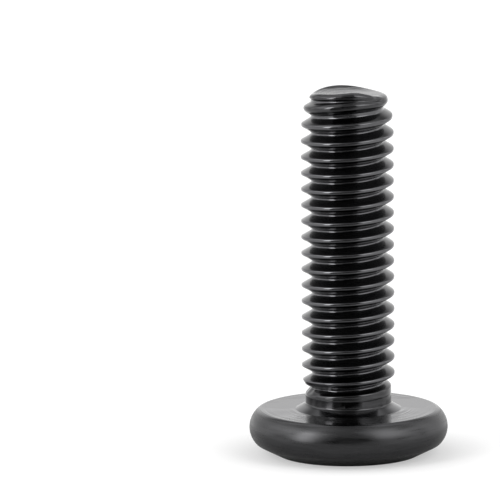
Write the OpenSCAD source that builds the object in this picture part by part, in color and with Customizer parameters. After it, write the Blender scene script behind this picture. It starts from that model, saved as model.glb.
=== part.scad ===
// Flat head socket cap screw with a rolled right-hand thread, all in one piece of steel.
// It stands on the flat face of its head, on z = 0, with the threaded end up along +Z.
// The socket opens through that face. All sizes are in millimetres.

/* [Head] */
// Largest diameter of the head, at the belly of its rounded rim
head_d = 17.3; // [16.4:0.1:22]
// Thickness of the head, from its flat face to its bearing face
head_h = 3.95; // [3.5:0.05:4.5]
// Diameter of the flat face round the socket
face_d = 12.4; // [9:0.1:13]
// Angle between the flat face and the chamfer that leads to the rim
chamfer_angle = 27; // [20:1:40]
// Radius of the rim's belly, as seen in section
belly_r = 1.93; // [1.8:0.01:2.2]
// Distance from the bearing face down to the widest line of the belly
belly_drop = 1.61; // [1.4:0.01:1.8]
// Radius of the corner between the rim and the bearing face
rim_edge_r = 0.55; // [0.4:0.05:0.7]

/* [Socket] */
// Width of the hexagonal socket across its flats
socket_af = 6; // [4:0.1:6.4]
// Depth of the socket's straight walls below the flat face
socket_depth = 2.85; // [2:0.05:3.2]
// Depth of the shallow point that the punch leaves in the socket's floor
socket_point_h = 0.7; // [0.2:0.1:1]
// Width by which the socket's softened mouth is wider on each side
mouth_w = 0.28; // [0.1:0.02:0.4]
// Depth of the socket's softened mouth
mouth_h = 0.22; // [0.1:0.02:0.4]

/* [Neck] */
// Diameter of the plain neck between the head and the thread
neck_d = 7.5; // [7.3:0.05:7.8]
// Height of the plain neck above the bearing face
neck_h = 1.2; // [1:0.1:6]
// Diameter of the cone that carries the neck, where it meets the bearing face
foot_d = 9.3; // [8.3:0.05:10.5]
// Height of that cone
foot_h = 0.52; // [0.3:0.01:0.8]

/* [Thread] */
// Length of the shank, from the bearing face to the tip
shank_h = 28.5; // [12:0.1:34]
// Outer diameter of the thread, over its crests
thread_d = 7.92; // [7.85:0.01:8.1]
// Diameter of the thread at the bottom of its grooves
root_d = 6.17; // [6:0.01:6.4]
// Distance from one crest to the next, for 18 threads to the inch
thread_pitch = 1.411; // [1.25:0.001:1.6]
// Width of a crest across its flat
crest_w = 0.19; // [0.1:0.01:0.3]
// Width of the rounded bottom of a groove
root_w = 0.25; // [0.15:0.01:0.35]
// Diameter of the shank where the rolling of the thread has only begun
blank_d = 7.45; // [7.2:0.01:7.48]
// Height over which the grooves reach full depth above the neck
groove_runout_h = 0.85; // [0.4:0.05:1.4]
// Height over which the crests then reach full diameter
crest_runout_h = 0.7; // [0.4:0.05:1.4]

/* [Tip] */
// Diameter of the shallow dome on the end of the shank
tip_d = 6.2; // [5.4:0.05:6.3]
// Height of that dome
tip_dome_h = 0.6; // [0.2:0.05:0.8]
// Diameter of the shank at the end of its taper
tip_crest_d = 6.6; // [6.45:0.05:7]
// Length of the taper, which cuts down the last crests
tip_taper_h = 2; // [1:0.1:4]
// Angle of the chamfer between the taper and the dome
tip_chamfer_angle = 40; // [30:1:60]

/* [Hidden] */
$fn = 96;
cut = 0.01;
facets_a_turn = 36;

// The rim: a round belly, and a smaller arc that meets it and the bearing face tangentially
belly_x = head_d / 2 - belly_r;
belly_z = head_h - belly_drop;
edge_z = head_h - rim_edge_r;
edge_x = belly_x + sqrt(pow(belly_r - rim_edge_r, 2) - pow(edge_z - belly_z, 2));
belly_top_z = belly_z + (edge_z - belly_z) * belly_r / (belly_r - rim_edge_r);

// The socket, across its corners. The point in its floor stays clear of its walls.
corners = 1 / cos(30);
point_gap = 0.24;
socket_corner_d = socket_af * corners;
mouth_corner_d = (socket_af + 2 * mouth_w) * corners;
socket_point_d = socket_af - 2 * point_gap;

// Heights up the shank. The grooves start a little above the plain neck.
neck_gap = 0.15;
neck_top_z = head_h + neck_h;
groove_start_z = neck_top_z + neck_gap;
crest_start_z = groove_start_z + groove_runout_h;

// The tip: a taper that ends in a chamfer, and a dome on top
tip_z = head_h + shank_h;
dome_z = tip_z - tip_dome_h;
dome_r = (pow(tip_d / 2, 2) + pow(tip_dome_h, 2)) / (2 * tip_dome_h);
tip_chamfer_h = (tip_crest_d - tip_d) / 2 * tan(tip_chamfer_angle);
taper_end_z = dome_z - tip_chamfer_h;
taper_slope = (thread_d - tip_crest_d) / 2 / tip_taper_h;
envelope_gap = 0.5;

// The thread's lowest turn is buried in the neck, and its highest is cut off by the tip
thread_sink = 0.218;
thread_start_z = neck_top_z - thread_pitch - thread_sink;
thread_steps = ceil(facets_a_turn * (tip_z + cut - thread_start_z) / thread_pitch);
thread_end_z = thread_start_z + thread_pitch * thread_steps / facets_a_turn;

// One pitch of the thread from groove to groove: [height along the axis, share of the full depth].
// The shoulder is the share of the depth that rounds each end of a flank.
shoulder = 0.05;
thread_section = [
    [0, 0],
    [root_w / 2, shoulder],
    [(thread_pitch - crest_w) / 2, 1 - shoulder],
    [thread_pitch / 2, 1],
    [(thread_pitch + crest_w) / 2, 1 - shoulder],
    [thread_pitch - root_w / 2, shoulder],
];
section_points = len(thread_section);

// How far z has come from one height to another, from 0 to 1
function share(z, from_z, to_z) = min(1, max(0, (z - from_z) / (to_z - from_z)));

function mix(a, b, t) = a + (b - a) * t;

// Radius of the groove's bottom at height z: it runs out towards the neck
function groove_r(z) =
    mix(blank_d, root_d, share(z, groove_start_z, groove_start_z + groove_runout_h)) / 2;

// Radius of the crest at height z: it is lower beside the neck
function crest_r(z) =
    mix(blank_d, thread_d, share(z, crest_start_z, crest_start_z + crest_runout_h)) / 2;

// Point of the thread's skin: a step round the helix, and a point of the section
function thread_point(step, p) =
    let (
        z = thread_start_z + thread_pitch * step / facets_a_turn + thread_section[p][0],
        r = mix(groove_r(z), crest_r(z), thread_section[p][1]),
        angle = 360 * step / facets_a_turn
    )
    [r * cos(angle), r * sin(angle), z];

// Place of that point in the list of points. The section's end is its start one turn further up.
function thread_index(step, p) =
    p == section_points ? thread_index(step + facets_a_turn, 0)
    : step <= thread_steps ? step * section_points + p
    : thread_steps * section_points + section_points + step - thread_steps - 1;

// The threaded shank as one closed skin, wound up the helix, with a fan over each end
module thread_skin() {
    last_step = thread_steps + facets_a_turn;
    bottom = thread_index(last_step, 0) + 1;
    top = bottom + 1;
    points = [
        for (step = [0 : thread_steps])
            for (p = [0 : section_points - 1])
                thread_point(step, p),
        for (step = [thread_steps + 1 : last_step])
            thread_point(step, 0),
        [0, 0, thread_start_z],
        [0, 0, thread_end_z + thread_pitch],
    ];
    skin = [
        for (step = [0 : thread_steps - 1])
            for (p = [0 : section_points - 1])
                for (half = [0, 1])
                    half == 0
                        ? [thread_index(step, p), thread_index(step + 1, p + 1), thread_index(step + 1, p)]
                        : [thread_index(step, p), thread_index(step, p + 1), thread_index(step + 1, p + 1)],
    ];
    bottom_fan = [
        for (step = [0 : facets_a_turn - 1])
            [bottom, thread_index(step, 0), thread_index(step + 1, 0)],
        for (p = [0 : section_points - 1])
            [bottom, thread_index(0, p + 1), thread_index(0, p)],
    ];
    top_fan = [
        for (step = [thread_steps : last_step - 1])
            [top, thread_index(step + 1, 0), thread_index(step, 0)],
        for (p = [0 : section_points - 1])
            [top, thread_index(thread_steps, p), thread_index(thread_steps, p + 1)],
    ];
    polyhedron(points = points, faces = concat(skin, bottom_fan, top_fan), convexity = 10);
}

// The room that the threaded shank may fill, which gives it its tip
module tip_envelope() {
    room_r = thread_d / 2 + envelope_gap;
    rotate_extrude() {
        polygon([
            [0, 0],
            [room_r, 0],
            [room_r, taper_end_z - (room_r - tip_crest_d / 2) / taper_slope],
            [tip_crest_d / 2, taper_end_z],
            [tip_d / 2, dome_z],
            [0, dome_z],
        ]);
        intersection() {
            translate([0, tip_z - dome_r])
                circle(r = dome_r);
            translate([0, dome_z - cut])
                square([tip_d / 2, tip_dome_h + cut]);
        }
    }
}

module threaded_shank() {
    intersection() {
        thread_skin();
        tip_envelope();
    }
}

// Half of the head's section: the rounded rim, cut by the flat face and its chamfer
module head_section() {
    intersection() {
        union() {
            square([edge_x, head_h]);
            translate([edge_x, edge_z])
                circle(r = rim_edge_r);
            intersection() {
                translate([belly_x, belly_z])
                    circle(r = belly_r);
                translate([belly_x - belly_r, 0])
                    square([2 * belly_r, belly_top_z]);
            }
        }
        polygon([
            [0, 0],
            [face_d / 2, 0],
            [face_d / 2 + head_h / tan(chamfer_angle), head_h],
            [0, head_h],
        ]);
    }
}

module head() {
    rotate_extrude()
        head_section();
}

// The plain neck, on a low cone that spreads its load into the bearing face
module neck() {
    translate([0, 0, head_h / 2])
        cylinder(d = neck_d, h = head_h / 2 + neck_h);
    translate([0, 0, head_h - cut])
        cylinder(d1 = foot_d, d2 = neck_d, h = foot_h + cut);
}

// The hexagonal socket: a softened mouth, straight walls and a shallow point in its floor
module socket() {
    translate([0, 0, -cut])
        cylinder(d = socket_corner_d, h = socket_depth + cut, $fn = 6);
    translate([0, 0, -cut])
        cylinder(d1 = mouth_corner_d, d2 = socket_corner_d, h = mouth_h + cut, $fn = 6);
    translate([0, 0, socket_depth - cut])
        cylinder(d1 = socket_point_d, d2 = 0, h = socket_point_h + cut);
}

module screw() {
    color("#1c1c1d")
        difference() {
            union() {
                head();
                neck();
                threaded_shank();
            }
            socket();
        }
}

screw();
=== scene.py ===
# %% [markdown]
# # A flat head cap screw in black oxide steel
#
# The real screw is one piece of steel. A blank is cut from wire, its end is struck into a
# broad disc with a hexagonal socket, and its thread is rolled between two flat dies. Then it
# is blackened in a hot salt bath and oiled. Here it is one closed mesh, because a cold-formed
# part has no seams: every surface flows into the next over a small radius. The script works
# in metres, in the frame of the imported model: the screw stands on its flat face, tip up.

import math

import bpy
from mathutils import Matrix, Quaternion, Vector


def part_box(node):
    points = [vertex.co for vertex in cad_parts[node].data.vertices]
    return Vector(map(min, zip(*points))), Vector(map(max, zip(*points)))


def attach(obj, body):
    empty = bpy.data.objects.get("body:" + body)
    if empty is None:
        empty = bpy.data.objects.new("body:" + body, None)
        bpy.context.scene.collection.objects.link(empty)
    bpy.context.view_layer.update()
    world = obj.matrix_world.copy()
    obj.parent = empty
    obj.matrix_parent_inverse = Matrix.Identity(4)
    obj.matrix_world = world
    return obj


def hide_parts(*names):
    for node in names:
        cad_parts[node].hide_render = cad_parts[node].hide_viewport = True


MM = 0.001

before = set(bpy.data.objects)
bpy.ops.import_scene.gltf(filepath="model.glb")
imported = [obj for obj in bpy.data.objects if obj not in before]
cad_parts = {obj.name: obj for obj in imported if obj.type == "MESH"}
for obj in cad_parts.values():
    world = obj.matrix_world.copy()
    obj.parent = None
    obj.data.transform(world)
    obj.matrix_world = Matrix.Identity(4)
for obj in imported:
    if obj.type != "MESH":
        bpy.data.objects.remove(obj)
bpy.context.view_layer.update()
low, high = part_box("screw")
print("packed model:", sorted(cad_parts), "box in mm:", [round(v / MM, 2) for v in (*low, *high)])

# %% [markdown]
# ## Camera
#
# The photograph looks down on the screw by about ten degrees, from far away with a long lens,
# so the shank hardly narrows towards its tip. A long lens is a large focal length on an
# ordinary sensor. The screw stands to the right of the picture's middle. A lens shift could
# put it there, but here the camera itself is moved, so that it aims past the screw's left side.

# %% Place the camera
PICTURE_PX = 500
PX_PER_MM = 11.503
SCREW_LEFT_PX = 347.7  # from the picture's left edge to the screw's axis
SENSOR_MM = 36
CAMERA_DISTANCE = 1100 * MM
CAMERA_ELEVATION = math.radians(10.49)
CAMERA_ROLL = math.radians(-0.36)
AIM_Z = 17.99 * MM

aim = Vector(((PICTURE_PX / 2 - SCREW_LEFT_PX) / PX_PER_MM * MM, 0, AIM_Z))
towards_camera = Vector((0, -math.cos(CAMERA_ELEVATION), math.sin(CAMERA_ELEVATION)))
camera_data = bpy.data.cameras.new("long_lens")
camera_data.sensor_width = SENSOR_MM
camera_data.lens = SENSOR_MM * (CAMERA_DISTANCE / MM) * PX_PER_MM / PICTURE_PX
camera = bpy.data.objects.new("camera", camera_data)
camera.location = aim + towards_camera * CAMERA_DISTANCE
level = towards_camera.to_track_quat("Z", "Y")
camera.rotation_euler = (level @ Quaternion((0, 0, 1), CAMERA_ROLL)).to_euler()
bpy.context.scene.collection.objects.link(camera)
bpy.context.scene.camera = camera
print("camera lens", round(camera_data.lens), "mm at", [round(v, 3) for v in camera.location])

# %% [markdown]
# ## Outline of the head
#
# The head, its socket and the neck are turned shapes, so they are described by one path from
# the middle of the socket's floor, out over the flat face, round the rim, in along the bearing
# face and up the neck. Each stop on the path becomes a ring of points. A ring can be a circle,
# a hexagon or something between, which lets the hexagonal socket join the round face with no
# gap. A modifier such as Screw or a boolean cut would leave the socket's edge sharp, and a
# struck socket has a soft, rolled edge that catches the light.

# %% Sizes of the head and neck in millimetres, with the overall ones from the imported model
INSIDE = 0.001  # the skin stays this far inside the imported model's box

head_r = min(high.x, high.y) / MM - INSIDE
shank_end = high.z / MM
bearing_z = 3.95
face_r = 6.2
chamfer_angle = math.radians(27)
belly_r = 1.93  # radius of the rim's belly, as seen in section
belly_z = bearing_z - 1.61
belly_x = head_r - belly_r
corner_r = 0.55  # radius of the corner between the belly and the bearing face
corner_z = bearing_z - corner_r
corner_x = belly_x + math.sqrt((belly_r - corner_r) ** 2 - (corner_z - belly_z) ** 2)
neck_r = 3.73
neck_top = bearing_z + 1.15
print("head", round(2 * head_r, 2), "mm across,", round(shank_end, 2), "mm tall")

# %% Rings: circles, soft-cornered hexagons and blends of the two
SPOKES = 144  # points round each ring
SOFT_HEX_CORNER = 0.15

spokes = [math.tau * i / SPOKES for i in range(SPOKES)]


def hexagon_r(angle, across_flats):
    """Distance from the axis to a hexagon with soft corners, corners on the X axis."""
    off_corner = (math.degrees(angle) + 30) % 60 - 30
    off_flat = 30 - abs(off_corner)
    flat = across_flats / 2 / math.cos(math.radians(off_flat))
    centre = (across_flats / 2 - SOFT_HEX_CORNER) / math.cos(math.radians(30))
    side = centre * math.sin(math.radians(off_corner))
    if abs(side) >= SOFT_HEX_CORNER:
        return flat
    corner = centre * math.cos(math.radians(off_corner)) + math.sqrt(SOFT_HEX_CORNER ** 2 - side ** 2)
    return min(flat, corner)


def circle(radius, z):
    return [(radius, z)] * SPOKES


def hexagon(across_flats, z):
    return [(hexagon_r(angle, across_flats), z) for angle in spokes]


def blend(ring_a, ring_b, share):
    return [
        (ra + (rb - ra) * share, za + (zb - za) * share)
        for (ra, za), (rb, zb) in zip(ring_a, ring_b)
    ]


def arc(x, z, radius, start, end, steps):
    """Circles along an arc seen in section, angles in degrees from the radial direction."""
    turns = [math.radians(start + (end - start) * k / steps) for k in range(steps + 1)]
    return [circle(x + radius * math.cos(turn), z + radius * math.sin(turn)) for turn in turns]


print("a ring has", SPOKES, "points, so a step on the rim is", round(math.tau * head_r / SPOKES, 2), "mm")

# %% [markdown]
# ## Socket
#
# A punch strikes the socket. It leaves straight hexagonal walls, a floor with a shallow point,
# and a mouth whose edge is drawn in and rounded. The corners of a real punch are a little
# blunt, so the hexagon's corners are rounded too.

# %% The socket, from the middle of its floor out to its mouth
SOCKET_AF = 6.0  # across the flats
SOCKET_DEPTH = 2.85
POINT_R = 2.76
POINT_H = 0.7
MOUTH_W = 0.28
MOUTH_H = 0.22
MOUTH_STEPS = 8
FLOOR_CORNER = 0.1  # radius of the corner between floor and walls, in section
GUARD = 0.04  # a ring this close to a rounded edge keeps the surface beside it straight
FLOOR_RS = (0.4, 1.2, 2.0, 2.6, POINT_R)
WALL_ZS = (SOCKET_DEPTH - FLOOR_CORNER, 2.1, 1.2, 0.6, MOUTH_H + GUARD)

floor_rings = [circle(r, SOCKET_DEPTH + POINT_H * (1 - r / POINT_R)) for r in FLOOR_RS]
floor_rings += [
    hexagon(SOCKET_AF - 2 * FLOOR_CORNER, SOCKET_DEPTH),
    hexagon(SOCKET_AF - 0.6 * FLOOR_CORNER, SOCKET_DEPTH - 0.2 * FLOOR_CORNER),
]
wall_rings = [hexagon(SOCKET_AF, z) for z in WALL_ZS]
mouth_rings = []
for k in range(MOUTH_STEPS + 1):
    turn = math.radians(90 * k / MOUTH_STEPS)
    mouth_af = SOCKET_AF + 2 * MOUTH_W * (1 - math.cos(turn))
    mouth_rings.append(hexagon(mouth_af, MOUTH_H * (1 - math.sin(turn))))
socket_rings = [*floor_rings, *wall_rings, *mouth_rings]
print("socket:", len(socket_rings), "rings, its mouth", round(mouth_af, 2), "mm across the flats")

# %% [markdown]
# ## Flat face, chamfer and rim
#
# The face that the screw stands on is flat, and a shallow chamfer leads from it to the rim.
# The rim has been squeezed out by the blow, so it is a round belly and not a cylinder. Extra
# rings lie close to each edge, so that smooth shading rounds the edge and nothing beside it.

# %% The flat face, its chamfered edge and the rim's belly
EDGE = 0.05  # radius of a crisp cold-formed edge
EDGE_STEPS = 4
SHARES = (0.03, 0.2, 0.4, 0.6, 0.8)  # how far along a straight stretch its rings lie
FACE_INSET = 0.1  # the face's last ring lies this far before its edge
CHAMFER_END = 0.94  # how far along the chamfer its last ring lies
BELLY_GUARD = 2  # degrees from the chamfer's end to the belly's first ring
BELLY_STEPS = 26
CORNER_STEPS = 8

face_end = circle(face_r - FACE_INSET, 0)
face_rings = [blend(mouth_rings[-1], face_end, share) for share in (*SHARES, 1)]
edge_reach = EDGE * math.tan(chamfer_angle / 2)
edge_rings = []
for k in range(EDGE_STEPS + 1):
    turn = chamfer_angle * k / EDGE_STEPS
    edge_rings.append(circle(face_r - edge_reach + EDGE * math.sin(turn), EDGE * (1 - math.cos(turn))))

# Where the chamfer's straight line meets the belly's arc
rise = (face_r - belly_x) * math.sin(chamfer_angle) + belly_z * math.cos(chamfer_angle)
meet_angle = -math.degrees(math.pi / 2 - chamfer_angle - math.acos(rise / belly_r))
meet_x = belly_x + belly_r * math.cos(math.radians(meet_angle))
meet_z = belly_z + belly_r * math.sin(math.radians(meet_angle))
chamfer_rings = [
    circle(face_r + (meet_x - face_r) * share, meet_z * share) for share in (*SHARES, CHAMFER_END)
]
join_angle = math.degrees(math.asin((corner_z - belly_z) / (belly_r - corner_r)))
belly_rings = arc(belly_x, belly_z, belly_r, meet_angle + BELLY_GUARD, join_angle, BELLY_STEPS)
corner_rings = arc(corner_x, corner_z, corner_r, join_angle, 90, CORNER_STEPS)[1:]
print("chamfer meets the belly at", round(meet_x, 3), round(meet_z, 3))

# %% [markdown]
# ## Bearing face and neck
#
# The face that bears on the work is flat too. At its middle the neck stands on a low cone,
# which spreads the load where a sharp corner would crack. A small hollow lies at each end of
# the cone, and catches a thin line of light.

# %% The bearing face and the cone at the neck's foot
FOOT_R = 4.6
FOOT_H = 0.5
HOLLOW_LOW = 0.12  # radius of the hollow where the cone meets the face
HOLLOW_HIGH = 0.2  # and of the one where it meets the neck
LOW_STEPS = 4
HIGH_STEPS = 8

cone_angle = math.atan2(FOOT_H, FOOT_R - neck_r)
low_reach = HOLLOW_LOW * math.tan(cone_angle / 2)
high_reach = HOLLOW_HIGH * math.tan((math.pi / 2 - cone_angle) / 2)
outer_r = corner_x - GUARD
inner_r = FOOT_R + low_reach + GUARD
bearing_rings = [
    circle(outer_r - (outer_r - inner_r) * share, bearing_z) for share in (0, 0.25, 0.5, 0.75, 1)
]
cone_tilt = 270 - math.degrees(cone_angle)
low_hollow = (FOOT_R + low_reach, bearing_z + HOLLOW_LOW, HOLLOW_LOW)
high_hollow = (neck_r + HOLLOW_HIGH, bearing_z + FOOT_H + high_reach, HOLLOW_HIGH)
cone_rings = arc(*low_hollow, 270, cone_tilt, LOW_STEPS)
cone_rings += arc(*high_hollow, cone_tilt, 180, HIGH_STEPS)
print("bearing face from", round(inner_r, 2), "to", round(outer_r, 2), "mm from the axis")

# %% [markdown]
# ## Thread
#
# A rolled thread is a 60 degree groove pressed into the blank: a narrow round bottom, straight
# flanks and a slightly crowned crest where the metal has flowed up. A swept profile would make
# it too, but the ends would then need cutting. Here the skin is a radius for each angle and
# height, and each effect of the rolling is one more soft limit on that radius.

# %% One crest and its flanks, in millimetres
PITCH = 1.411
FLANK = math.tan(math.radians(60))
SHARP_R = 4.24  # where the two flanks of a crest would meet if they ran on
CREST_R = 4.05
CREST_ROUND = 0.45  # radius of the crest's crown, as seen in section
CREST_EDGE = 0.07  # softness of the crest's edges
SHORT_ROUND = 0.28  # radius of the crown where a crest is far from full
SHORT_GROOVE = 0.6  # how far the flank above a short crest steps back with it
ROOT_R = 3.148
ROOT_SOFT = 0.13


def soft_min(a, b, softness):
    share = min(1, max(0, 0.5 + 0.5 * (b - a) / softness))
    return b + (a - b) * share - softness * share * (1 - share)


def soft_max(a, b, softness):
    return -soft_min(-a, -b, softness)


def crest_skin_r(off_crest, short):
    """Radius of the skin at a distance above a crest that is short of its full height.

    A short crest is rounder, and the groove above it is wider.
    """
    step_back = SHORT_GROOVE * short if off_crest > 0 else 0
    flank = SHARP_R - step_back - abs(off_crest) * FLANK
    crown = CREST_R - short - off_crest ** 2 / (2 * max(SHORT_ROUND, CREST_ROUND - short))
    return soft_max(soft_min(flank, crown, CREST_EDGE), ROOT_R, ROOT_SOFT)


print("thread", 2 * CREST_R, "mm over the crests,", 2 * ROOT_R, "mm in the grooves")

# %% [markdown]
# ## Where the thread ends
#
# Beside the neck the dies' edges are rounded off, so the grooves get shallow and the crests get
# low. That edge is never quite even, and a few sine waves round the shank make it ragged.
# Towards the tip the blank tapers, so there is too little metal to fill the dies: the last
# crests are lower and rounder. Cutting the tip with a cone would leave flat bands there.

# %% The run-out above the neck
CLEAR_R = 4.2  # no limit to the crests
ROLL_START_Z = bearing_z + 1.48
ROLL_DEPTH_H = 0.8  # the height over which the grooves get their depth
ROLL_DEEP_R = ROOT_R - 0.15  # below the grooves, so that it limits them no more
CREST_START_Z = bearing_z + 2.2
CREST_FULL_Z = bearing_z + 3.0
EDGE_WAVES = [  # height in mm, number of waves round the shank, and their phase in radians
    (0.08, 1, 1.0), (0.045, 5, 0.9), (0.035, 9, 4.0), (0.025, 23, 0),
]


def ramp(value, start, end):
    return min(1, max(0, (value - start) / (end - start)))


def crest_limit_r(z):
    """How far the crests may reach at a height, so that they are low beside the neck."""
    return neck_r + (CLEAR_R - neck_r) * ramp(z, CREST_START_Z, CREST_FULL_Z)


def groove_limit_r(angle, z):
    """How deep the grooves may reach: not below the blank where the rolling has not begun."""
    start = ROLL_START_Z + sum(height * math.sin(waves * angle + at) for height, waves, at in EDGE_WAVES)
    return neck_r + (ROLL_DEEP_R - neck_r) * ramp(z, start, start + ROLL_DEPTH_H)


print("grooves start", round(ROLL_START_Z - bearing_z, 2), "mm above the bearing face")

# %% The last crests, and the radius of the thread at any place
TAPER = [  # height of a crest's middle, and its radius
    (28.6, CREST_R), (29.0, 4.0), (29.8, 3.95), (30.4, 3.8), (31.1, 3.56), (31.6, 3.35), (32.5, 3.2),
]
BEAD = 0.2  # the end of the shank is this much wider just below its rim
BEAD_LOW_Z = 31.2
BEAD_HIGH_Z = 31.45
GROOVE_ABOVE_BEARING = 2.48  # height at which a groove's middle crosses the +X side
CREST_SOFT = 0.1
GROOVE_SOFT = 0.05

groove_z = bearing_z + GROOVE_ABOVE_BEARING


def crest_top_r(crest_z):
    """Radius of the crest whose middle is at a height. Only near the tip is it not a full one."""
    for (low_z, low_r), (high_z, high_r) in zip(TAPER, TAPER[1:]):
        if crest_z < high_z:
            break
    return low_r + (high_r - low_r) * ramp(crest_z, low_z, high_z)


def thread_r(angle, z):
    turns = (z - groove_z) / PITCH - angle / math.tau
    off_crest = (turns - math.floor(turns) - 0.5) * PITCH
    skin = crest_skin_r(off_crest, CREST_R - crest_top_r(z - off_crest))
    skin = soft_max(skin, ROOT_R + BEAD * ramp(z, BEAD_LOW_Z, BEAD_HIGH_Z), GROOVE_SOFT)
    skin = soft_min(skin, crest_limit_r(z), CREST_SOFT)
    return soft_max(skin, groove_limit_r(angle, z), GROOVE_SOFT)


print("crests shrink from", CREST_R, "to", round(crest_top_r(31.5), 2), "mm at the tip")

# %% [markdown]
# ## Uneven tip
#
# The end of the shank is not cut: the dies squeeze it out past the blank's end, so it is a
# shallow cup with a rim, and the rim bulges where more metal came. A level ring could be made
# uneven with a noise, but these bulges are few and large, so each is one soft hump with a
# height, a place and a width. The last turns of the thread follow them a little way.

# %% The rim's humps, and how far they lift the last turns
TIP_ROUND = 0.35
RIM_R = 2.85
RIM_LOW_Z = 31.7
CUP_Z = 31.7
RIM_HUMPS = [  # height in mm, and where it is highest, starts and ends, in degrees
    (0.30, 105, 30, 180),
    (0.34, 225, 160, 275),
    (0.58, 279, 222, 345),
]
LIFT = 0.08  # the last turns are a little wider apart, because the metal is free to move there
LIFT_ZS = (28.0, 29.5)
RIDGE_LIFT = 0.24  # and wider still below the highest hump
RIDGE_LIFT_ZS = (29.4, 30.7)
RIDGE_PLACE = (268, 183, 353)


def hump(angle, top, start, end):
    """1 at the top of a hump, falling softly to 0 at its start and end."""
    off = (math.degrees(angle) - top + 180) % 360 - 180
    reach = end - top if off > 0 else top - start
    return 0.5 + 0.5 * math.cos(math.pi * min(1, abs(off) / reach))


def rim_z(angle):
    return RIM_LOW_Z + sum(height * hump(angle, *place) for height, *place in RIM_HUMPS)


def lift(angle, z):
    """How far a point of the last turns is pushed up."""
    all_round = LIFT * ramp(z, *LIFT_ZS)
    return all_round + RIDGE_LIFT * hump(angle, *RIDGE_PLACE) * ramp(z, *RIDGE_LIFT_ZS)


print("rim from", round(min(map(rim_z, spokes)), 2), "to", round(max(map(rim_z, spokes)), 2), "mm high")

# %% [markdown]
# ## One closed skin
#
# Now the path is turned into a mesh. The head's rings are joined with quads, one after the
# other. The thread's rows climb with the helix, so that each crest and groove has rows of its
# own and stays clean. At both ends the rows are clamped to a level ring, and points that land
# on the same spot become one, which joins the helix to the plain neck below and to the rim
# above without a cut. A grid of level rings would be simpler, but its quads would cross the
# crests at a slant and make them look notched.

# %% Turn the head's path into rings of faces
verts = []
faces = []


def add_ring(ring):
    start = len(verts)
    for angle, (r, z) in zip(spokes, ring):
        verts.append((r * math.cos(angle) * MM, r * math.sin(angle) * MM, z * MM))
    return list(range(start, start + SPOKES))


def join_rings(a, b):
    for i in range(SPOKES):
        j = (i + 1) % SPOKES
        faces.append((a[i], a[j], b[j], b[i]))


def add_middle(z):
    verts.append((0, 0, z * MM))
    return len(verts) - 1


path = [
    *socket_rings, *face_rings, *edge_rings, *chamfer_rings, *belly_rings, *corner_rings,
    *bearing_rings, *cone_rings, circle(neck_r, neck_top),
]
floor_middle = add_middle(SOCKET_DEPTH + POINT_H)
ring = add_ring(path[0])
faces += [(floor_middle, ring[(i + 1) % SPOKES], ring[i]) for i in range(SPOKES)]
for stop in path[1:]:
    next_ring = add_ring(stop)
    join_rings(ring, next_ring)
    ring = next_ring
neck_ring = ring
print("head and neck:", len(path), "rings,", len(faces), "faces")

# %% Rows that wind up the shank
ROW_SHARES = [  # heights in a turn, closer together at the groove's bottom and at the crest
    0, 0.03, 0.06, 0.1, 0.15, 0.21, 0.27, 0.33, 0.375, 0.405, 0.43, 0.46,
    0.5, 0.54, 0.57, 0.595, 0.625, 0.67, 0.73, 0.79, 0.85, 0.9, 0.94, 0.97,
]

side_top = [rim_z(angle) - TIP_ROUND for angle in spokes]
side_r = [thread_r(angle, z - lift(angle, z)) for angle, z in zip(spokes, side_top)]
tip_ring = add_ring(list(zip(side_r, side_top)))
first_turn = math.floor((neck_top - groove_z) / PITCH) - 1
last_turn = math.ceil((shank_end - groove_z) / PITCH) + 1
row_turns = [turn + share for turn in range(first_turn, last_turn + 1) for share in ROW_SHARES]
print("thread:", len(row_turns), "rows, from turn", first_turn, "to", last_turn)

# %% Join the rows, and clamp them to the rings at both ends
SNAP = 0.02  # a point this close to an end ring becomes a point of that ring

points = {}


def thread_vertex(spoke, row):
    """Index of the point on a row at a spoke; past the last spoke it is on the next turn."""
    if spoke == SPOKES:
        spoke, row = 0, row + len(ROW_SHARES)
    if row >= len(row_turns):
        return tip_ring[spoke]
    angle = spokes[spoke]
    straight_z = groove_z + PITCH * (row_turns[row] + spoke / SPOKES)
    z = straight_z + lift(angle, straight_z)
    if z <= neck_top + SNAP:
        return neck_ring[spoke]
    if z >= side_top[spoke] - SNAP:
        return tip_ring[spoke]
    if (spoke, row) not in points:
        r = thread_r(angle, straight_z)
        points[spoke, row] = len(verts)
        verts.append((r * math.cos(angle) * MM, r * math.sin(angle) * MM, z * MM))
    return points[spoke, row]


head_faces = len(faces)
for row in range(len(row_turns)):
    for spoke in range(SPOKES):
        corners = [
            thread_vertex(spoke, row), thread_vertex(spoke + 1, row),
            thread_vertex(spoke + 1, row + 1), thread_vertex(spoke, row + 1),
        ]
        corners = list(dict.fromkeys(corners))
        if len(corners) > 2:
            faces.append(tuple(corners))
print("thread:", len(faces) - head_faces, "faces")

# %% Close the tip: round its rim over, then go down into the shallow cup
RIM_STEPS = 7
CUP_SHARES = (0.985, 0.96, 0.92, 0.87, 0.81, 0.74, 0.66, 0.56, 0.42, 0.24)
CUP_STEEPNESS = 4  # the higher it is, the flatter the cup's floor

ring = tip_ring
for k in range(1, RIM_STEPS + 1):
    turn = math.radians(90 * k / RIM_STEPS)
    next_ring = add_ring([
        (RIM_R + (r - RIM_R) * math.cos(turn), z + TIP_ROUND * math.sin(turn))
        for r, z in zip(side_r, side_top)
    ])
    join_rings(ring, next_ring)
    ring = next_ring
for share in CUP_SHARES:
    climb = share ** CUP_STEEPNESS
    next_ring = add_ring([(RIM_R * share, CUP_Z + (rim_z(angle) - CUP_Z) * climb) for angle in spokes])
    join_rings(ring, next_ring)
    ring = next_ring
tip_middle = add_middle(CUP_Z)
faces += [(ring[i], ring[(i + 1) % SPOKES], tip_middle) for i in range(SPOKES)]
print("tip:", RIM_STEPS + len(CUP_SHARES), "rings")

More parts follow.
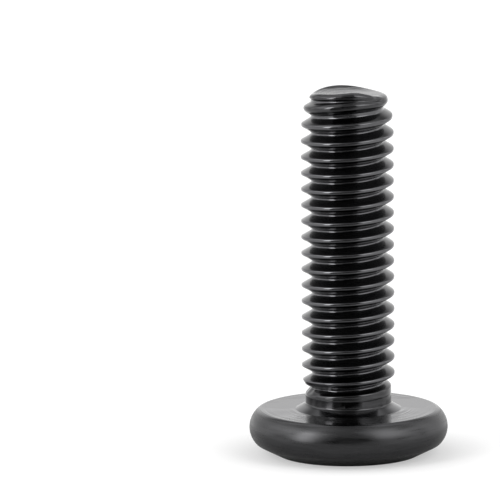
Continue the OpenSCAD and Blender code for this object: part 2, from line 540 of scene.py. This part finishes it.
# %% Make the mesh and say what it stands for
mesh = bpy.data.meshes.new("screw_skin")
mesh.from_pydata(verts, [], faces)
mesh.validate()
mesh.shade_smooth()
screw = bpy.data.objects.new("screw_skin", mesh)
bpy.context.scene.collection.objects.link(screw)
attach(screw, "root")
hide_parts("screw")
print("screw mesh:", len(mesh.vertices), "points,", len(mesh.polygons), "faces")

# %% [markdown]
# ## Black oxide steel
#
# Black oxide is a thin layer of magnetite, grown in a hot salt bath and then oiled. It hides
# the steel's own colour: what the eye gets is a near-black surface with clear, neutral
# reflections that turn bright only at a shallow angle. It could be made as a dark paint under
# a clear coat, but the coat's reflections would stay pale whatever the tone below. A metal
# with a dark base colour mirrors the room in that dark tone, as oiled oxide does.

# %% Helpers for materials


def linear(hex_colour):
    """An sRGB colour such as "#3a3a3b" as the linear numbers that shaders use."""
    channels = [int(hex_colour[i:i + 2], 16) / 255 for i in (1, 3, 5)]
    return [c / 12.92 if c <= 0.04045 else ((c + 0.055) / 1.055) ** 2.4 for c in channels] + [1]


def add_node(tree, kind, inputs=(), **settings):
    """Adds a node, sets its settings, and fills its inputs with values or links."""
    node = tree.nodes.new(kind)
    for name, value in settings.items():
        setattr(node, name, value)
    for name, value in dict(inputs).items():
        if isinstance(value, bpy.types.NodeSocket):
            tree.links.new(value, node.inputs[name])
        else:
            node.inputs[name].default_value = value
    return node


print("a mid grey, #808080, is", round(linear("#808080")[0], 3), "of the light")

# %% Where each finish lies: on the flats, above the head and on the tip
NEARLY_LEVEL = 0.97  # how straight up or down a surface faces, where 1 is level
LEVEL = 0.995
HEAD_FINISH_END_Z = bearing_z - 0.2
LUMPS_START_Z = 31.0
LUMPS_FULL_Z = 31.8

oxide = bpy.data.materials.new("black_oxide_steel")
oxide.use_nodes = True
tree = oxide.node_tree
tree.nodes.clear()
place = add_node(tree, "ShaderNodeTexCoord")
position = place.outputs["Object"]
axes = add_node(tree, "ShaderNodeSeparateXYZ", {0: position})
facing = add_node(tree, "ShaderNodeSeparateXYZ", {0: place.outputs["Normal"]})
up_or_down = add_node(tree, "ShaderNodeMath", {0: facing.outputs["Z"]}, operation="ABSOLUTE")
on_flats = add_node(tree, "ShaderNodeMapRange", {
    "Value": up_or_down.outputs[0], "From Min": NEARLY_LEVEL, "From Max": LEVEL,
})
above_head = add_node(tree, "ShaderNodeMapRange", {
    "Value": axes.outputs["Z"], "From Min": HEAD_FINISH_END_Z * MM, "From Max": bearing_z * MM,
})
on_tip = add_node(tree, "ShaderNodeMapRange", {
    "Value": axes.outputs["Z"], "From Min": LUMPS_START_Z * MM, "From Max": LUMPS_FULL_Z * MM,
})
around = add_node(tree, "ShaderNodeVectorMath", {0: position, 1: (1, 1, 0)}, operation="MULTIPLY")
radius = add_node(tree, "ShaderNodeVectorMath", {0: around.outputs[0]}, operation="LENGTH")
print("oxide:", len(tree.nodes), "nodes that tell the places apart")

# %% [markdown]
# ## Marks of making
#
# Three marks of making show. The tool that faced the head left rings on its flats, deeper in
# one stretch than in the next. Rolling and tumbling left faint streaks round the rim and along
# the thread. And the squeezed tip is a little lumpy. Each is a noise texture whose scale comes
# from the size of the mark, stretched along it, and drives a bump. They are far too shallow
# for the outline, so they need no geometry.

# %% Rings on the flats
RING_MM = 0.32  # a fine cut leaves rings about 0.1 mm apart, too fine to show, so these are coarser
RING_HEIGHT_MM = 0.06
STRETCH_MM = 5  # length of a stretch with deep rings or shallow ones

ring_place = add_node(tree, "ShaderNodeMath", {
    0: radius.outputs["Value"], 1: 1 / (RING_MM * MM),
}, operation="MULTIPLY")
rings = add_node(tree, "ShaderNodeTexNoise", {
    "W": ring_place.outputs[0], "Scale": 1.0, "Detail": 2,
}, noise_dimensions="1D")
stretch = add_node(tree, "ShaderNodeTexNoise", {
    "Vector": position, "Scale": 1 / (STRETCH_MM * MM), "Detail": 1,
})
ring_depth = add_node(tree, "ShaderNodeMapRange", {
    "Value": stretch.outputs["Fac"], "From Min": 0.4, "From Max": 0.6,
})
uneven_rings = add_node(tree, "ShaderNodeMath", {
    0: rings.outputs["Fac"], 1: ring_depth.outputs[0],
}, operation="MULTIPLY")
ring_height = add_node(tree, "ShaderNodeMath", {
    0: uneven_rings.outputs[0], 1: on_flats.outputs[0],
}, operation="MULTIPLY")
ring_bump = add_node(tree, "ShaderNodeBump", {
    "Height": ring_height.outputs[0], "Strength": 1.0, "Distance": RING_HEIGHT_MM * MM,
})
print("rings", RING_MM, "mm apart")

# %% Streaks of rolling and tumbling
STREAK_MM = 0.2
STREAK_STRETCH = 9  # how much longer a streak is than it is wide
STREAK_HEIGHT_MM = 0.003

streak_place = add_node(tree, "ShaderNodeVectorMath", {
    0: position, 1: (1 / STREAK_STRETCH, 1 / STREAK_STRETCH, 1),
}, operation="MULTIPLY")
streaks = add_node(tree, "ShaderNodeTexNoise", {
    "Vector": streak_place.outputs[0], "Scale": 1 / (STREAK_MM * MM), "Detail": 3,
})
streak_bump = add_node(tree, "ShaderNodeBump", {
    "Height": streaks.outputs["Fac"], "Strength": 0.5, "Distance": STREAK_HEIGHT_MM * MM,
    "Normal": ring_bump.outputs[0],
})
print("streaks", STREAK_MM, "mm wide and", round(STREAK_MM * STREAK_STRETCH, 1), "mm long")

# %% Lumps on the tip, and the fine grain of the oxide
LUMP_MM = 0.9
LUMP_HEIGHT_MM = 0.05
GRAIN_MM = 0.12  # the oxide's own grain is about a hundredth of that, which is too fine to show
GRAIN_HEIGHT_MM = 0.002

lumps = add_node(tree, "ShaderNodeTexNoise", {
    "Vector": position, "Scale": 1 / (LUMP_MM * MM), "Detail": 3,
})
lump_height = add_node(tree, "ShaderNodeMath", {
    0: lumps.outputs["Fac"], 1: on_tip.outputs[0],
}, operation="MULTIPLY")
lump_bump = add_node(tree, "ShaderNodeBump", {
    "Height": lump_height.outputs[0], "Strength": 1.0, "Distance": LUMP_HEIGHT_MM * MM,
    "Normal": streak_bump.outputs[0],
})
grain = add_node(tree, "ShaderNodeTexNoise", {
    "Vector": position, "Scale": 1 / (GRAIN_MM * MM), "Detail": 2,
})
grain_bump = add_node(tree, "ShaderNodeBump", {
    "Height": grain.outputs["Fac"], "Strength": 0.5, "Distance": GRAIN_HEIGHT_MM * MM,
    "Normal": lump_bump.outputs[0],
})
print("lumps", LUMP_MM, "mm wide, grain", GRAIN_MM, "mm")

# %% [markdown]
# ## Wear, painted light and gloss
#
# The crests take the knocks in the tumbler, and the bottoms of the grooves the pressure of the
# dies, so there the oxide is thinner and the steel behind it shows a little. The same lighter
# crests and groove bottoms are also painted light: they brighten the highlights there, and the
# darker flanks paint shade into the grooves. The rolled thread is burnished and nearly a mirror.
# The head is only tumbled, so its gloss is softer. Painting the wear by hand would need a picture
# wrapped round the screw. The distance from the axis finds the crests and the grooves by itself.

# %% Where the oxide is rubbed, and where light and shade are painted on the thread
# On the thread the lighter colour is partly wear and partly a painted highlight; the darker flanks are
# partly painted shade in the grooves.
FLANK_WEAR_AND_SHADE = 0.1
EDGE_WEAR_AND_HIGHLIGHT = 0.9
RUBBED_HEAD = 0.12
CREST_WEAR_AND_HIGHLIGHT_RS = (3.8, 4.0)  # the wear and a painted highlight grow outwards over the crests
GROOVE_WEAR_AND_HIGHLIGHT_RS = (3.25, 3.2)  # and inwards at the bottoms of the grooves
STREAK_TONE = 0.1  # how far the streaks change it

crests = add_node(tree, "ShaderNodeMapRange", {
    "Value": radius.outputs["Value"],
    "From Min": CREST_WEAR_AND_HIGHLIGHT_RS[0] * MM, "From Max": CREST_WEAR_AND_HIGHLIGHT_RS[1] * MM,
    "To Min": FLANK_WEAR_AND_SHADE, "To Max": EDGE_WEAR_AND_HIGHLIGHT,
})
grooves = add_node(tree, "ShaderNodeMapRange", {
    "Value": radius.outputs["Value"],
    "From Min": GROOVE_WEAR_AND_HIGHLIGHT_RS[0] * MM, "From Max": GROOVE_WEAR_AND_HIGHLIGHT_RS[1] * MM,
    "To Min": FLANK_WEAR_AND_SHADE, "To Max": EDGE_WEAR_AND_HIGHLIGHT,
})
thread_wear_and_painted_light = add_node(tree, "ShaderNodeMath", {
    0: crests.outputs[0], 1: grooves.outputs[0],
}, operation="MAXIMUM")
wear_and_painted_light = add_node(tree, "ShaderNodeMapRange", {
    "Value": above_head.outputs[0], "To Min": RUBBED_HEAD, "To Max": thread_wear_and_painted_light.outputs[0],
})
tone = add_node(tree, "ShaderNodeMapRange", {
    "Value": streaks.outputs["Fac"], "From Min": 0.35, "From Max": 0.65,
    "To Min": -STREAK_TONE, "To Max": STREAK_TONE,
})
tone_wear_and_painted_light = add_node(tree, "ShaderNodeMath", {0: wear_and_painted_light.outputs[0], 1: tone.outputs[0]}, operation="ADD")
print("rubbed by", EDGE_WEAR_AND_HIGHLIGHT, "on crests,", RUBBED_HEAD, "on the head")

# %% Colour, gloss and the finished shader
FULL_OXIDE = linear("#434344")
WORN_OXIDE_AND_HIGHLIGHT = linear("#626264")
HEAD_ROUGHNESS = 0.3  # usual for tumbled steel
THREAD_ROUGHNESS = 0.11  # usual for burnished steel
SMOOTHEST = 0.85  # the streaks vary the roughness between these shares of it
ROUGHEST = 1.25

# Lighter on the crests and groove bottoms, partly wear and partly painted highlight; darker on the flanks,
# partly painted shade in the grooves.
colour = add_node(tree, "ShaderNodeMix", {
    "Factor": tone_wear_and_painted_light.outputs[0], "A": FULL_OXIDE, "B": WORN_OXIDE_AND_HIGHLIGHT,
}, data_type="RGBA")
polish = add_node(tree, "ShaderNodeMapRange", {
    "Value": above_head.outputs[0], "To Min": HEAD_ROUGHNESS, "To Max": THREAD_ROUGHNESS,
})
wear = add_node(tree, "ShaderNodeMapRange", {
    "Value": streaks.outputs["Fac"], "From Min": 0.3, "From Max": 0.7,
    "To Min": SMOOTHEST, "To Max": ROUGHEST,
})
rough = add_node(tree, "ShaderNodeMath", {0: polish.outputs[0], 1: wear.outputs[0]}, operation="MULTIPLY")
oiled_oxide = add_node(tree, "ShaderNodeBsdfPrincipled", {
    "Base Color": colour.outputs["Result"],
    "Metallic": 1.0,
    "Roughness": rough.outputs[0],
    "Normal": grain_bump.outputs[0],
})
add_node(tree, "ShaderNodeOutputMaterial", {"Surface": oiled_oxide.outputs["BSDF"]})
mesh.materials.append(oxide)
print("oxide finished:", len(tree.nodes), "nodes")

# %% [markdown]
# ## Floor
#
# The screw stands on matt white paper. Paper is pressed fibre, so it scatters light evenly and
# has no gloss. The photograph shows it as pure white. Stronger lamps would do that, but they
# would burn out the metal too. So the paper is a pale grey under plain light, which keeps the
# screw's shadow, and it gets its white from a little light of its own that only the camera and
# reflections see. Close to the head that light fades. This paints a contact shadow round the
# screw for the camera, and a wider painted shade on the paper that the metal mirrors.

# %% Lay the paper
PAPER_REACH = 3.0

floor_mesh = bpy.data.meshes.new("floor")
floor_mesh.from_pydata(
    [(x * PAPER_REACH, y * PAPER_REACH, 0) for x, y in ((-1, -1), (1, -1), (1, 1), (-1, 1))],
    [], [(0, 1, 2, 3)],
)
floor = bpy.data.objects.new("floor", floor_mesh)
bpy.context.scene.collection.objects.link(floor)
print("paper:", 2 * PAPER_REACH, "m wide")

# %% Where the paper's own light grows to its full strength, outwards from the head
# Nearer the head the paper's own light is weaker: a painted contact shadow for the camera, and a painted
# shade in reflections out to 45 mm.
SEEN_FADE = (8.5 * MM, 13.0 * MM)
SEEN_AT_HEAD = 0.8
MIRRORED_FADE = (9.0 * MM, 45.0 * MM)

paper = bpy.data.materials.new("white_paper")
paper.use_nodes = True
tree = paper.node_tree
tree.nodes.clear()
ray = add_node(tree, "ShaderNodeLightPath")
on_floor = add_node(tree, "ShaderNodeTexCoord")
away = add_node(tree, "ShaderNodeVectorMath", {0: on_floor.outputs["Object"]}, operation="LENGTH")
lift_with_painted_shadow = add_node(tree, "ShaderNodeMapRange", {
    "Value": away.outputs["Value"],
    "From Min": SEEN_FADE[0], "From Max": SEEN_FADE[1], "To Min": SEEN_AT_HEAD,
})
past_shade = add_node(tree, "ShaderNodeMapRange", {
    "Value": away.outputs["Value"], "From Min": MIRRORED_FADE[0], "From Max": MIRRORED_FADE[1],
})
print("paper's own light is full from", round(SEEN_FADE[1] / MM), "mm off the axis")

# %% The paper's own light, for the camera and for reflections
PAPER = linear("#c3c3c3")
PAPER_LIFT = 0.54

reflection = add_node(tree, "ShaderNodeMath", {
    0: ray.outputs["Is Glossy Ray"], 1: ray.outputs["Is Transmission Ray"],
}, operation="MAXIMUM")
mirrored = add_node(tree, "ShaderNodeMath", {
    0: reflection.outputs[0], 1: past_shade.outputs[0],
}, operation="MULTIPLY")
direct = add_node(tree, "ShaderNodeMath", {
    0: ray.outputs["Is Camera Ray"], 1: lift_with_painted_shadow.outputs[0],
}, operation="MULTIPLY")
seen = add_node(tree, "ShaderNodeMath", {0: direct.outputs[0], 1: mirrored.outputs[0]}, operation="MAXIMUM")
lift_strength = add_node(tree, "ShaderNodeMath", {0: seen.outputs[0], 1: PAPER_LIFT}, operation="MULTIPLY")
matt = add_node(tree, "ShaderNodeBsdfDiffuse", {"Color": PAPER})
glow = add_node(tree, "ShaderNodeEmission", {"Strength": lift_strength.outputs[0]})
matt_and_glow = add_node(tree, "ShaderNodeAddShader", {0: matt.outputs[0], 1: glow.outputs[0]})
add_node(tree, "ShaderNodeOutputMaterial", {"Surface": matt_and_glow.outputs[0]})
floor_mesh.materials.append(paper)
print("paper: reflects", round(PAPER[0], 2), "of the light, with a lift of", PAPER_LIFT)

# %% [markdown]
# ## Dark card: painted shade for reflections
#
# Black metal shows its shape only by what it mirrors. A matt dark card on the paper in front
# of it, out of the picture, paints shade into its reflections: it gives its front something
# dark to mirror, while its sides stay bright. Darker paper would do that too, but then the
# picture's ground would be dark. Here the card is a wedge that starts in front of the head and
# widens to both sides. It takes part in reflections alone, so it neither shows nor darkens the
# paper. Its right edge and the end near the head fade out, because there the photograph's
# reflections fade too.

# %% Cut the card
CARD_LEFT = math.radians(-45)
CARD_RIGHT = math.radians(42)
CARD_NEAR = 14 * MM
CARD_FAR = 400 * MM
CARD_Z = 0.05 * MM

card_corners = [
    (CARD_NEAR, CARD_LEFT), (CARD_FAR, CARD_LEFT), (CARD_FAR, CARD_RIGHT), (CARD_NEAR, CARD_RIGHT),
]
card_mesh = bpy.data.meshes.new("painted_shade_card")
card_mesh.from_pydata(
    [(reach * math.tan(side), -reach, CARD_Z) for reach, side in card_corners], [], [(0, 1, 2, 3)]
)
card = bpy.data.objects.new("painted_shade_card", card_mesh)
card.visible_camera = False
card.visible_diffuse = False
card.visible_shadow = False
bpy.context.scene.collection.objects.link(card)
print("card from", round(CARD_NEAR / MM), "to", round(CARD_FAR / MM), "mm in front of the axis")

# %% Its grey, and where it fades out
# The grey of the painted shade that the metal mirrors in front.
CARD_GREY = linear("#5c5c5c")
FADE_RIGHT = math.radians(12)
FADE_NEAR = 60 * MM
COVER_NEAR = 0.3  # how much of the paper the card's near end hides

card_grey = bpy.data.materials.new("painted_shade_card")
card_grey.use_nodes = True
tree = card_grey.node_tree
tree.nodes.clear()
on_card = add_node(tree, "ShaderNodeTexCoord")
card_axes = add_node(tree, "ShaderNodeSeparateXYZ", {0: on_card.outputs["Object"]})
ahead = add_node(tree, "ShaderNodeMath", {0: card_axes.outputs["Y"], 1: -1.0}, operation="MULTIPLY")
sideways = add_node(tree, "ShaderNodeMath", {
    0: card_axes.outputs["X"], 1: ahead.outputs[0],
}, operation="ARCTAN2")
from_right = add_node(tree, "ShaderNodeMapRange", {
    "Value": sideways.outputs[0], "From Min": CARD_RIGHT, "From Max": FADE_RIGHT,
}, interpolation_type="SMOOTHSTEP")
from_near = add_node(tree, "ShaderNodeMapRange", {
    "Value": ahead.outputs[0], "From Min": CARD_NEAR, "From Max": FADE_NEAR, "To Min": COVER_NEAR,
})
cover = add_node(tree, "ShaderNodeMath", {
    0: from_right.outputs[0], 1: from_near.outputs[0],
}, operation="MULTIPLY")
card_face = add_node(tree, "ShaderNodeBsdfDiffuse", {"Color": CARD_GREY})
clear = add_node(tree, "ShaderNodeBsdfTransparent")
faded = add_node(tree, "ShaderNodeMixShader", {
    0: cover.outputs[0], 1: clear.outputs[0], 2: card_face.outputs[0],
})
add_node(tree, "ShaderNodeOutputMaterial", {"Surface": faded.outputs[0]})
card_mesh.materials.append(card_grey)
print("card: reflects", round(CARD_GREY[0], 2), "of the light")

# %% [markdown]
# ## Light tent
#
# The screw stands in a tent of white cloth with lamps behind it, open in front for the lens.
# Area lamps could light it, but their hard square outlines would show in a metal this smooth.
# So the tent is the world itself: patches of sky with soft edges, each between two azimuths
# and two elevations. Azimuth 0 is in front, where the camera is, and positive to the right.
# Their places and strengths were set with a trial fit as the guide, until the bands
# of light on the metal lay about where the photograph has them. Together they light a level
# surface at about strength 1, so a colour renders about as it is written.

# %% A patch of sky with soft edges
world = bpy.data.worlds.new("light_tent")
world.use_nodes = True
tree = world.node_tree
tree.nodes.clear()


def degrees_between(tree, angle, start, end, soft_start, soft_end):
    """1 where an angle lies between start and end, fading to 0 over the soft widths outside."""
    up = add_node(tree, "ShaderNodeMapRange", {
        "Value": angle, "From Min": math.radians(start - soft_start), "From Max": math.radians(start),
    }, interpolation_type="SMOOTHSTEP")
    down = add_node(tree, "ShaderNodeMapRange", {
        "Value": angle, "From Min": math.radians(end), "From Max": math.radians(end + soft_end),
        "To Min": 1.0, "To Max": 0.0,
    }, interpolation_type="SMOOTHSTEP")
    inside = add_node(tree, "ShaderNodeMath", {0: up.outputs[0], 1: down.outputs[0]}, operation="MULTIPLY")
    return inside.outputs[0]


direction = add_node(tree, "ShaderNodeTexCoord")
sky_axes = add_node(tree, "ShaderNodeSeparateXYZ", {0: direction.outputs["Generated"]})
to_front = add_node(tree, "ShaderNodeMath", {0: sky_axes.outputs["Y"], 1: -1.0}, operation="MULTIPLY")
azimuth = add_node(tree, "ShaderNodeMath", {
    0: sky_axes.outputs["X"], 1: to_front.outputs[0],
}, operation="ARCTAN2")
elevation = add_node(tree, "ShaderNodeMath", {0: sky_axes.outputs["Z"]}, operation="ARCSINE")
print("sky:", len(tree.nodes), "nodes that find azimuth and elevation")

# %% The tent's walls, top and lamps
ROOM = 0.02  # the dark room that the tent's open front shows
PATCHES = [  # strength, then start, end and soft widths at both, of azimuth and of elevation
    (0.14, (-200, 200, 1, 1), (50, 95, 20, 1)),      # top of the tent
    (1.05, (-125, -50, 15, 20), (40, 72, 20, 10)),   # left half of the top
    (1.00, (50, 120, 20, 15), (40, 72, 20, 10)),     # right half of the top
    (0.40, (-50, 50, 20, 20), (40, 76, 20, 14)),     # front of the top
    (0.60, (130, 200, 20, 1), (50, 80, 15, 14)),     # back of the top, right half
    (0.60, (-200, -130, 1, 20), (50, 80, 15, 14)),   # back of the top, left half
    (0.88, (-110, -45, 12, 2), (-10, 36, 1, 18)),    # left wall
    (1.05, (-92, -60, 12, 8), (14, 40, 8, 14)),      # lamp behind the left wall
    (5.20, (-60, -46, 6, 2), (-4, 36, 4, 14)),       # strip lamp at the left wall's edge
    (0.64, (-46, -24, 3, 8), (16, 38, 6, 18)),       # its light on the front of the tent
    (0.77, (40, 84, 10, 20), (-10, 30, 1, 14)),      # right wall
    (0.80, (84, 112, 20, 15), (-10, 30, 1, 14)),     # right wall, further back
    (2.10, (34, 66, 7, 14), (20, 50, 10, 14)),       # lamp behind the right wall
    (1.25, (112, 200, 15, 1), (-10, 22, 1, 24)),     # back wall, right half
    (1.25, (-200, -110, 1, 15), (-10, 22, 1, 24)),   # back wall, left half
]

total = ROOM
for strength, across, upward in PATCHES:
    patch = add_node(tree, "ShaderNodeMath", {
        0: degrees_between(tree, azimuth.outputs[0], *across),
        1: degrees_between(tree, elevation.outputs[0], *upward),
    }, operation="MULTIPLY")
    light = add_node(tree, "ShaderNodeMath", {0: patch.outputs[0], 1: strength}, operation="MULTIPLY")
    total = add_node(tree, "ShaderNodeMath", {0: light.outputs[0], 1: total}, operation="ADD").outputs[0]
sky = add_node(tree, "ShaderNodeBackground", {"Strength": total})
add_node(tree, "ShaderNodeOutputWorld", {"Surface": sky.outputs[0]})
bpy.context.scene.world = world
print("light tent:", len(PATCHES), "patches")

# %% [markdown]
# ## Sizes and finish
#
# The Standard view shows colours as they are written.

bpy.context.scene.view_settings.view_transform = "Standard"
tip_z = max(vert.co.z for vert in mesh.vertices)
print("tip at", round(tip_z / MM, 2), "mm, the packed model's at", round(high.z / MM, 2), "mm")
